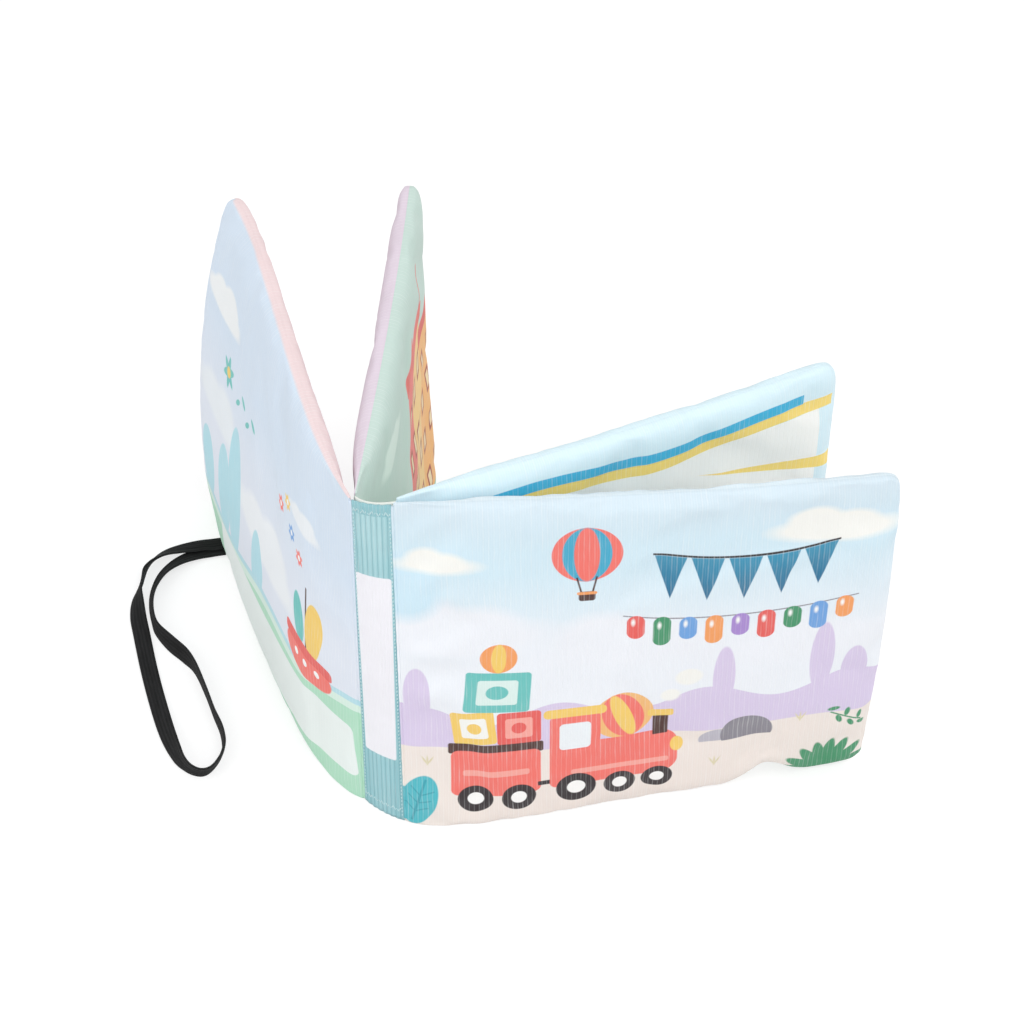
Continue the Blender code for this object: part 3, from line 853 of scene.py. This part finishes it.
def hot_air_balloon(paint, u, v, size):
    draw(paint, (
        (oval, 0, 0, 1.75, 1.75, CORAL), (oval, 0, 0, 1.225, 1.75, "#43ABCC"),
        (oval, 0, 0, 0.63, 1.75, CORAL),
        (block, -0.38, -2, 0.035 / size, 0.55, BROWN, 0.02, 12),
        (block, 0.38, -2, 0.035 / size, 0.55, BROWN, 0.02, -12),
        (block, 0, -2.75, 0.42, 0.32, BROWN), (block, 0, -2.55, 0.5, 0.1, ORANGE, 0.08)), u, v, size)


def within(paint, start, end):
    """1 between two places along the cloth."""
    return paint.inside(abs(paint.u - (start + end) / 2) - (end - start) / 2)


def ribbon(paint, start, end, line, half, colour):
    """A stripe along a line, square at both ends."""
    mask = paint.inside(abs(paint.v - line) - half)
    paint.lay(mask * within(paint, start, end), colour)


def sagging_line(paint, start, end, top, sag):
    """Height of a string that hangs between two places at one height."""
    share = (paint.u - (start + end) / 2) / ((end - start) / 2)
    return share * share * sag + (top - sag)


def bunting(paint, start, end, top, sag, pitch, drop, colour, foot_colour):
    """A string of pennants."""
    line = sagging_line(paint, start, end, top, sag)
    down = (line - paint.v) / drop
    across = pitch / 2 - paint.math("PINGPONG", paint.u - start, pitch / 2)
    edge = down * (pitch * 0.46) + (across - pitch * 0.46)
    mask = paint.inside(edge) * within(paint, start, end) * (down * 20).held()
    paint.lay(mask, paint.mix((down * 1).held(), colour, foot_colour))
    ribbon(paint, start, end, line, 0.05, INK)


def lanterns(paint, start, end, top, sag, colours):
    """A string of round-ended lanterns."""
    ribbon(paint, start, end, sagging_line(paint, start, end, top, sag), 0.03, STONE)
    for count, colour in enumerate(colours):
        share = (count + 0.5) / len(colours)
        tall = 0.74 if count % 2 else 0.58
        u = start + (end - start) * share
        v = top - sag + sag * (2 * share - 1) ** 2 - tall * 0.9
        paint.block(u, v, 0.33, tall, colour, 0.33)
        paint.oval(u - 0.1, v + tall * 0.4, 0.07, 0.16, WHITE, soft=0.08)


def edge_band(paint, depth, colour):
    """The neighbour's fabric, turned over the upper edge by a depth."""
    sag = (paint.u * (math.pi * CM / LEAF_LENGTH)).sine() * (-TOP_SAG / CM)
    paint.lay(paint.inside(sag + (LEAF_HEIGHT / CM - depth) - paint.v, 0.05), colour)


def front_cover_print(paint):
    paint.fade(SKY, 8.5, 13)
    paint.fade(SKY_TOP, 14, 16.2)
    for place in ((1.9, 9.9, 2.4), (8.6, 8.9, 2.2), (15.2, 8, 2)):
        cloud(paint, *place, CLOUD_BANK, 0.6)
    paint.oval(0.3, 12.2, 1.3, 1.5, "#CFE9F6", soft=0.6)
    cloud(paint, 1.5, 13.4, 0.9)
    cloud(paint, 15.9, 14, 1.45)
    poplars(paint, LILAC, ((0.6, 5.2, 2.9, 0.5), (3.1, 5.4, 2.4, 0.4), (12.2, 4.8, 3.4, 0.42),
                           (15.9, 5, 3.9, 0.46), (17.2, 5, 2.4, 0.5)))
    paint.below(LILAC, 6, -0.015, 0.45, 5.6, 1.2)
    paint.below(SAND, 4.2, -0.03, 0.1, 7)
    for place in ((0.9, 3.3), (12, 1.7), (15.3, 3.6)):
        blades(paint, *place, 0.22, 0.035, (-28, 0, 26), SAND_DARK)
    toy_train(paint, 1.75, 0.75, 0.97)
    hot_air_balloon(paint, 6.9, 13.75, 0.74)
    bunting(paint, 9.3, 16.1, 13.5, 0.55, 1.36, 2.05, "#3A93B5", "#27688F")
    lanterns(paint, 8.3, 17, 10.5, 0.45, (RED, GREEN, BLUE, ORANGE, PURPLE, RED, GREEN, BLUE, ORANGE))
    paint.oval(12, 3.225, 0.66, 0.5, STONE_PALE, above=3.05)
    paint.oval(13.2, 3.3325, 1.02, 0.95, STONE, above=3)
    leaf_shape(paint, 0.55, 1.35, 0.68, 1.35, -14, BUSH, BUSH_DEEP)
    blades(paint, 16.5, 0.15, 0.95, 0.25, (-72, -50, -28, -8, 12, 32, 54, 74), GREEN)
    paint.block(17.15, 3.35, 0.035, 0.8, GREEN, 0.03, 58)
    for u, v, turn in ((16.6, 3.95, 95), (16.85, 3.3, 20), (17.15, 3.65, -10), (17.35, 2.95, 30),
                       (17.7, 3.3, -5), (17.85, 2.75, 60)):
        paint.oval(u, v, 0.11, 0.24, GREEN, turn)


def back_cover_print(paint):
    paint.fade("#D6E4F3", 7.5, 12)
    for values in ((15.6, 12.7, 1.35, "#F1F4F5", 0.15), (15, 8, 1.8, "#EAF0F5", 0.4),
                   (8.2, 6.6, 2.3, "#EFF3F7", 0.35), (3.9, 11.6, 0.85, "#EDF2F6", 0.15)):
        cloud(paint, *values)
    poplars(paint, "#B4E0EB", ((9.2, 2.6, 3.8, 0.7), (12.4, 2.2, 6.6, 0.9), (13.9, 2.2, 4.6, 0.9),
                               (16.4, 2.2, 3.6, 0.9)))
    for colour, level in (("#B7DFE9", 5.45), ("#D9F0E4", 5.15), ("#B2E1C6", 4.75)):
        paint.below(colour, level, -0.17, 0.22, 9, 2)
    paint.block(7.35, 1.86, 7.1, 1.32, "#EDF5F2", 0.3, -5.5)
    paint.block(3.3, 7, 0.06, 1.9, BROWN, 0.05)
    paint.oval(2.75, 7, 0.62, 1.5, YELLOW, 6, above=5.7)
    paint.oval(4, 6.8, 0.5, 1.2, TEAL, -8, above=5.7)
    paint.oval(3.4, 4.9, 1.8, 0.85, CORAL)
    paint.block(3.4, 5.5, 1.85, 0.28, RED, 0.2)
    for u in (2.6, 3.4, 4.2):
        paint.oval(u, 4.85, 0.17, 0.17, WHITE)
    star(paint, 14.1, 10.6, 0.2, 0.72, TEAL, YELLOW, 0.24)
    for u, v, turn in ((12.6, 10.3, 50), (11.9, 10.8, 120), (11.2, 10.3, 50), (10.5, 10.8, 120)):
        paint.oval(u, v, 0.12, 0.3, TEAL, turn)
    for u, v, colour in ((6.3, 10.6, CORAL), (5.5, 11.3, YELLOW), (4.9, 10.3, BLUE), (4, 9.8, CORAL)):
        star(paint, u, v, 0.13, 0.36, colour, WHITE, 0.12)
    edge_band(paint, 0.05, PINK)


def lining_print(paint):
    paint.below("#F3CDD1", 3.6, 0, 0.4, 9)
    cloud(paint, 5, 12.4, 1.4, "#FAF1F1", 0.2)
    cloud(paint, 12.6, 10.6, 1.7, "#FAF1F1", 0.2)
    hot_air_balloon(paint, 9.2, 8.3, 1)


def left_page_left_print(paint):
    paint.below("#D9C3DA", 3.2, 0, 0.35, 8, 1)
    for u, v, colour, mark in ((5, 4.1, TEAL, CLOUD), (7.6, 4, CORAL, CORAL_LIGHT),
                               (6.3, 6.3, YELLOW, CLOUD)):
        toy_block(paint, u, v, 1.1, 1.1, colour, mark)


def left_page_right_print(paint):
    """Mint, with tall block houses along the fore edge."""
    paint.fade("#C9DED6", 6, 13)
    cloud(paint, 5.2, 13.6, 1.1, "#E3F3EB", 0.2)
    paint.below(MEADOW, 2.2, 0, 0.3, 9)
    paint.block(14.6, 13.4, 0.1, 1.3, RED, 0.02)
    for u, v, wide, tall, wall, roof in (
            (10.9, 6.9, 1.15, 5.4, "#F77F78", "#F0706A"), (13.3, 6.4, 1.6, 5.4, "#FFD48F", "#F0706A"),
            (16.3, 5.6, 1.5, 4.8, "#FDBE78", RED)):
        paint.block(u, v, wide, tall, wall, 0.1)
        paint.block(u, v + tall + 0.25, wide + 0.2, 0.5, roof, 0.2)
        for row in (-0.66, -0.22, 0.22, 0.66):
            for side in (-0.5, 0.5):
                window = (u + side * wide, v + row * tall)
                paint.block(*window, wide * 0.24, tall * 0.11, "#B4533F", 0.05)
                paint.block(*window, wide * 0.14, tall * 0.075, "#FBE3B9", 0.04)


def right_page_left_print(paint):
    cloud(paint, 13, 12.8, 1.5, "#EEF8F3", 0.2)
    paint.below(MEADOW, 4.4, 0, 0.5, 10, 0.5)
    for u, tall, colour in ((4, 5.2, "#6DB58C"), (7.4, 6.6, "#5AA67C"), (10.6, 4.8, "#7CC39B")):
        paint.block(u, 4.6, 0.22, 1.6, BROWN, 0.05)
        paint.oval(u, 4.4 + tall / 2, 1.35, tall / 2, colour)
    edge_band(paint, 0.5, BLUE_PALE)


def right_page_right_print(paint):
    """Pale blue, with wavy stripes round a cream field, and round windows below."""
    # The cream field is painted lighter than the cloth's own cream, and the stripes brighter, as painted
    # light that makes up for the shade between the leaves.
    paint.block(8, 12.4, 8.95, 2.1, "#FDFBF6", 0.1)
    top = paint.wave(15.04, 0, 0.2, 10.5, -1.45)
    ribbon(paint, 0, 17.5, top - 0.44, 0.27, STRIPE_YELLOW)
    ribbon(paint, 0, 16.2, top, 0.22, STRIPE_BLUE)
    low = paint.wave(15.9, -0.24, 0.05, 9)
    ribbon(paint, 10, 17.7, low, paint.u * 0.06 - 0.72, STRIPE_YELLOW)
    paint.block(9, 9.3, 8.9, 0.7, CORAL, 0.1)
    for count in range(6):
        for radius, colour in ((1, "#3FA3CB"), (0.74, "#EAF6FB")):
            paint.oval(2.6 + 2.7 * count, 6.4, radius, radius, colour)
    paint.below(SAND, 3.4, 0, 0.3, 9)


def front_cover_inner_print(paint):
    paint.fade("#C6E6F4", 6, 14)
    paint.oval(4.4, 12.4, 1.5, 1.5, YELLOW)
    cloud(paint, 5.4, 11.6, 1.5, CLOUD, 0.15)
    cloud(paint, 13.4, 13, 1.5, CLOUD, 0.15)
    paint.below(MEADOW, 4.6, 0, 0.6, 11)
    paint.below(GREEN_PALE, 3, 0, 0.4, 8, 2)
    toy_train(paint, 4.4, 1.6, 0.95)
    edge_band(paint, 0.7, "#DCEBF3")


# Each panel's print, and the colour of its cloth
PRINTS = {
    "front_cover_outer_panel": (front_cover_print, SKY_LOW),
    "front_cover_inner_panel": (front_cover_inner_print, "#DDF0F8"),
    "back_cover_outer_panel": (back_cover_print, "#E3E9F4"),
    "back_cover_inner_panel": (lining_print, PINK),
    "left_page_left_panel": (left_page_left_print, LILAC_PALE),
    "left_page_right_panel": (left_page_right_print, MINT),
    "right_page_left_panel": (right_page_left_print, MINT),
    "right_page_right_panel": (right_page_right_print, BLUE_PALE),
}


def spine_print():
    """Teal with gathered lines, darker at its sides, and a bare pale area along its middle."""
    paint = Paint("spine_print", "#9FCFD6")
    paint.fade("#B4DCE1", 11.5, 14.5)
    paint.lay((abs(paint.u) * 2.2 - 0.9).held() * 0.75, "#86BEC6")
    lines = abs((paint.u * (math.pi / 0.21)).sine()) ** 0.35
    paint.lay((1 - lines).held() * 0.95, "#649FAA")
    paint.block(0, 16, 1.2, 0.42, "#8FC3CB", 0.05)
    paint.block(-0.02, 7.9, 0.74, 4.7, "#F3F2F8")
    return finish_fabric(paint, rib_pitch=0.14, depth=1.6, shade=0.1)


def thread_material():
    paint = Paint("spine_thread", "#BBDCE0")
    place = paint.node("TexCoord", {}, "Object")
    twist = paint.node("TexWave", {"Vector": place, "Scale": 900, "Distortion": 1.0}, "Fac")
    colour = paint.mix(twist * 0.3, paint.colour, (0.9, 0.95, 0.95, 1))
    return paint.finish(colour, twist * 0.00005, {"Roughness": 0.6, "Sheen Weight": 0.3})


def batting_material():
    paint = Paint("batting_fibres", "#F1F1EC")
    fibre = paint.noise(14, 5, 0.35, 2)
    colour = paint.mix(fibre, "#E2E2DC", "#FAFAF6")
    return paint.finish(colour, fibre * 0.0004, {"Roughness": 0.95, "Sheen Weight": 0.4})


def film_material():
    paint = Paint("crinkled_film", "#E6EAEC")
    crease = paint.node("TexVoronoi", {"Vector": paint.place, "Scale": 1.1}, "Distance")
    colour = paint.mix(crease, "#D9DEE2", "#F2F4F5")
    return paint.finish(colour, crease * 0.0006, {"Roughness": 0.2, "Coat Weight": 0.3})


def elastic_material():
    """Black woven elastic: lengthwise ribs crossed by fine picks, a painted highlight on the crests, painted
    shade in folds.
    """
    paint = Paint("woven_elastic", "#1E1F21")
    picks = abs((paint.v * (math.pi / 0.05)).sine())
    crest = (paint.u * (2 * math.pi / 0.14)).cosine() * -0.5 + 0.5
    creases = (paint.noise(5, 3, 0.12, 4) * 2.4 - 0.75).held()
    weave = picks * crest
    # Painted light: lighter on the rib crests as a highlight, and darker where the crease noise is low as
    # shade in the folds.
    colour = paint.mix(weave * 0.5 + creases * 0.5, "#060606", "#2B2B2C")
    return paint.finish(colour, weave * 0.00008 + creases * 0.00025, {
        "Roughness": 0.8, "Specular IOR Level": 0.25, "Sheen Weight": 0.05})


def make_prints():
    prints = {
        "spine": spine_print(),
        "gutter": finish_fabric(Paint("gutter_print", "#EDF1EA")),
        "batting": batting_material(),
        "crinkle_film": film_material(),
        "elastic": elastic_material(),
        "thread": thread_material(),
    }
    for node, (lay_print, ground) in PRINTS.items():
        paint = Paint(lay_print.__name__, ground)
        lay_print(paint)
        prints[node] = finish_fabric(paint)
    return prints


# Elastic loop

def smooth_route(route, steps):
    """Even samples of a Catmull-Rom curve through the route's rows."""
    rows = np.array(route)
    spans = len(rows) - 1
    places = np.linspace(0.0, spans, steps + 1)
    index = np.minimum(places.astype(int), spans - 1)
    part = (places - index)[:, None]
    before, start, end, after = (rows[np.clip(index + shift, 0, spans)] for shift in (-1, 0, 1, 2))
    cubic = -before + 3 * start - 3 * end + after
    square = 2 * before - 5 * start + 4 * end - after
    return 0.5 * (2 * start + (end - before) * part + square * part ** 2 + cubic * part ** 3)


def band_section():
    """The band's cross-section, as shares of its half width and half thickness."""
    across = np.cos(np.linspace(math.pi, 0.0, BAND_SIDE_POINTS))
    depth = 2 * ELASTIC_RIB_DEPTH / ELASTIC_THICKNESS
    round_edge = (1.0 - np.abs(across) ** 6) ** 0.5
    ribbed = 1.0 - depth * (0.5 + 0.5 * np.cos(math.pi * (across + 1.0) * ELASTIC_RIBS))
    top = list(zip(across, ribbed * round_edge))
    under = [(a, -h) for a, h in top[::-1]]
    return top + under[1:-1]


def build_elastic(material):
    samples = smooth_route(ELASTIC_ROUTE, BAND_STEPS)
    samples[:, :3] *= MM
    way = np.gradient(samples[:, :2], axis=0)
    way /= np.linalg.norm(way, axis=1)[:, None]
    across = np.stack((-way[:, 1], way[:, 0], np.zeros(len(way))), axis=1)
    up = np.array((0.0, 0.0, 1.0))
    turn = np.radians(samples[:, 3])[:, None]
    broad = (across * np.cos(turn) + up * np.sin(turn)) * (ELASTIC_WIDTH / 2)
    thin = (up * np.cos(turn) - across * np.sin(turn)) * (ELASTIC_THICKNESS / 2)
    lift = samples[:, 2] + np.abs(broad[:, 2]) + np.abs(thin[:, 2])
    centre = np.column_stack((samples[:, :2], lift))
    section = band_section()
    rings = np.stack([centre + broad * a + thin * b for a, b in section], axis=1)
    run = np.concatenate(([0.0], np.cumsum(np.linalg.norm(np.diff(centre, axis=0), axis=1))))
    uvs = [(a * ELASTIC_WIDTH / 2 / CM, along / CM) for along in run for a, _ in section]
    faces = tube_faces(len(rings), len(section))
    band = mesh_piece("elastic_band", rings.reshape(-1, 3), faces, material, uvs)
    dress(band, "back_cover", "elastic_loop")


# Spine

def strip_piece(name, strip_points, half_depth, material, pleats, node):
    """An upright fabric strip, gathered into small pleats near its foot and top."""
    share, up = np.meshgrid(np.linspace(-1.0, 1.0, STRIP_COLUMNS),
                            np.linspace(0.0, STRIP_HEIGHT, STRIP_ROWS), indexing="ij")
    down_share = 1.0 - up / STRIP_HEIGHT
    half = SPINE_TOP_WIDTH / 2 + (SPINE_FOOT_WIDTH - SPINE_TOP_WIDTH) / 2 * down_share
    gather = np.exp(-up / PLEAT_REACH) + np.exp(-(STRIP_HEIGHT - up) / PLEAT_REACH) + 0.15
    wander = 0.0006 * np.sin(up / 0.017) + 0.0004 * np.sin(up / 0.0071)
    pleat = np.abs(np.sin(math.pi * (share * half + wander) / PLEAT_PITCH)) ** 1.5
    offset = -pleats * PLEAT_DEPTH * gather * pleat * (1.0 - share ** 6)
    sides = [strip_points(share, offset + shift, up)
             for shift in (-half_depth, half_depth)]
    flat = np.stack((share * half, up), axis=-1) / CM
    piece = layer_piece(name, sides[0], sides[1], material, flat)
    dress(piece, "spine", node)


def build_spine(prints):
    strip_piece("spine_strip_fabric", cover_strip_points, STRIP_HALF_THICKNESS, prints["spine"], 1.0,
                "spine_cover_strip")
    strip_piece("gutter_fabric", gutter_strip_points, GUTTER_HALF_THICKNESS, prints["gutter"], 0.0,
                "gutter_strip")


# Fold lines and stitches

def build_fold(leaf, prints):
    """The turned fabric that rounds a fold line, slightly gathered by its thread."""
    panel, slot = LEAVES[leaf]["panels"][LEAVES[leaf]["turned"]]
    heights = np.linspace(BEAD_END_INSET, STRIP_HEIGHT - BEAD_END_INSET, BEAD_ROWS)
    line = fold_points(leaf, heights)
    radii = BEAD_RADIUS * (1.0 + BEAD_PUFF * np.sin(heights / STITCH_PITCH * math.pi * 2))
    radii[[0, -1]] *= BEAD_END_SHARE
    angles = 2 * math.pi * np.arange(BEAD_SIDES) / BEAD_SIDES
    spokes = np.stack((np.cos(angles), np.sin(angles), np.zeros(BEAD_SIDES)), axis=1)
    points = (line[:, None] + radii[:, None, None] * spokes).reshape(-1, 3)
    uvs = [(0.05, height / CM) for height in heights for _ in range(BEAD_SIDES)]
    bead = mesh_piece(f"{leaf}_fold_edge", points, tube_faces(BEAD_ROWS, BEAD_SIDES),
                      prints[f"{leaf}_{panel}_panel"], uvs)
    heading_there = (SPINE_FOOT_HEADING + SPINE_TOP_HEADING) / 2
    across = Vector((math.cos(heading_there), math.sin(heading_there), 0.0)) * BEAD_RADIUS
    side = -1.0 if leaf in ("back_cover", "left_page") else 1.0
    centre = Vector(line[len(line) // 2])
    centre - side * across
    centre + side * across
    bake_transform(bead)


def stitch_points(place, along, outward, length):
    """One raised stitch: a spindle that dips into the cloth at both ends."""
    across = along.cross(outward).normalized()
    points = []
    for ring in range(STITCH_RINGS):
        share = ring / (STITCH_RINGS - 1)
        swell = math.sin(math.pi * (0.08 + 0.84 * share)) ** 0.6
        lift = STITCH_RADIUS * (0.55 * math.sin(math.pi * share) - 0.25)
        centre = place + along * (length * (share - 0.5)) + outward * lift
        for side in range(STITCH_SIDES):
            angle = 2 * math.pi * side / STITCH_SIDES
            spoke = across * math.cos(angle) + outward * math.sin(angle)
            points.append(centre + spoke * (STITCH_RADIUS * swell))
    return points


def stitch_piece(name, stitches, material):
    points, faces = [], []
    for stitch in stitches:
        faces += tube_faces(STITCH_RINGS, STITCH_SIDES, len(points))
        points += stitch_points(*stitch)
    dress(mesh_piece(name, points, faces, material), "spine")


def strip_spot(share, height):
    """A place on the outer face of the spine strip, and the directions up, along and out."""
    lower, upper = cover_strip_points(share, -STRIP_HALF_THICKNESS, np.array((height, height + CM)))
    left, right = cover_strip_points(np.array((-1.0, 1.0)), 0.0, height)
    along = Vector(right - left).normalized()
    return Vector(lower), Vector(upper - lower).normalized(), along, along.cross(Vector((0.0, 0.0, 1.0)))


def build_spine_stitches(material):
    rows = int((STRIP_HEIGHT - 2 * STITCH_PITCH) / STITCH_PITCH)
    half = (SPINE_FOOT_WIDTH + SPINE_TOP_WIDTH) / 4 - HINGE_CLEARANCE
    stitches = []
    for side in (-1, 1):
        for row in range(rows):
            place, up, along, out = strip_spot(side * (1.0 - STITCH_INSET / half), STITCH_PITCH * (row + 1.5))
            lean = (up + along * STITCH_LEAN * side).normalized()
            stitches.append((place, lean, out, STITCH_LENGTH))
    stitch_piece("spine_side_stitches", stitches, material)
    stitches = []
    for height, width in ((STRIP_HEIGHT - BAR_TOP_INSET, SPINE_TOP_WIDTH),
                          (BAR_FOOT_INSET, SPINE_FOOT_WIDTH)):
        half = width / 2 - HINGE_CLEARANCE
        for bar in range(int((2 * half - 2 * STITCH_INSET) / BAR_PITCH)):
            share = (STITCH_INSET + BAR_PITCH * (bar + 0.5)) / half - 1.0
            place, up, along, out = strip_spot(share, height + BAR_WANDER * math.sin(bar * 1.7))
            lean = (up + along * (BAR_LEAN if bar % 2 else -BAR_LEAN)).normalized()
            stitches.append((place, lean, out, BAR_HEIGHT))
    stitch_piece("spine_end_stitches", stitches, material)


# Camera, floor and light

def add_camera():
    data = bpy.data.cameras.new("camera")
    data.lens = CAMERA_LENS
    data.sensor_width = SENSOR
    camera = add_object("camera", data)
    camera.location = CAMERA_PLACE
    camera.rotation_euler = (math.pi / 2 - CAMERA_ELEVATION, 0.0, 0.0)
    bpy.context.scene.camera = camera


def build_floor():
    """A plain floor that glows white for the camera and is a mid grey for other light."""
    nodes = Nodes("floor")
    direct = nodes.node("LightPath", {}, "Is Camera Ray")
    for ray in ("Is Glossy Ray", "Is Transmission Ray"):
        direct = nodes.math("MAXIMUM", direct, nodes.node("LightPath", {}, ray))
    nodes.fill(nodes.shader, {
        "Base Color": direct * (FLOOR_SHADE - FLOOR_COLOUR) + FLOOR_COLOUR,
        "Emission Color": WHITE_LIGHT, "Emission Strength": direct * FLOOR_GLOW,
        "Roughness": 0.9, "Specular IOR Level": 0.1})
    corners = ((-1, -1), (1, -1), (1, 1), (-1, 1))
    points = [(x * FLOOR_SIZE, y * FLOOR_SIZE, -FLOOR_DROP) for x, y in corners]
    mesh_piece("floor", points, [(0, 1, 2, 3)], nodes.material)


def add_light():
    for name, place, size, power in LAMPS:
        data = bpy.data.lights.new(name, "AREA")
        data.shape = "DISK"
        data.size = size
        data.energy = power
        lamp = add_object(name, data)
        lamp.location = place
        lamp.rotation_euler = (Vector(LIGHT_TARGET) - Vector(place)).to_track_quat("-Z", "Y").to_euler()
    world = bpy.data.worlds.new("studio")
    bpy.context.scene.world = world
    world.use_nodes = True
    background = world.node_tree.nodes["Background"]
    background.inputs["Color"].default_value = WHITE_LIGHT
    background.inputs["Strength"].default_value = WORLD_STRENGTH
    bpy.context.scene.view_settings.view_transform = "Standard"


def main():
    add_camera()
    prints = make_prints()
    build_elastic(prints["elastic"])
    for leaf in LEAVES:
        build_leaf(leaf, prints)
    build_spine(prints)
    for leaf in LEAVES:
        build_fold(leaf, prints)
    build_spine_stitches(prints["thread"])
    build_floor()
    add_light()


main()
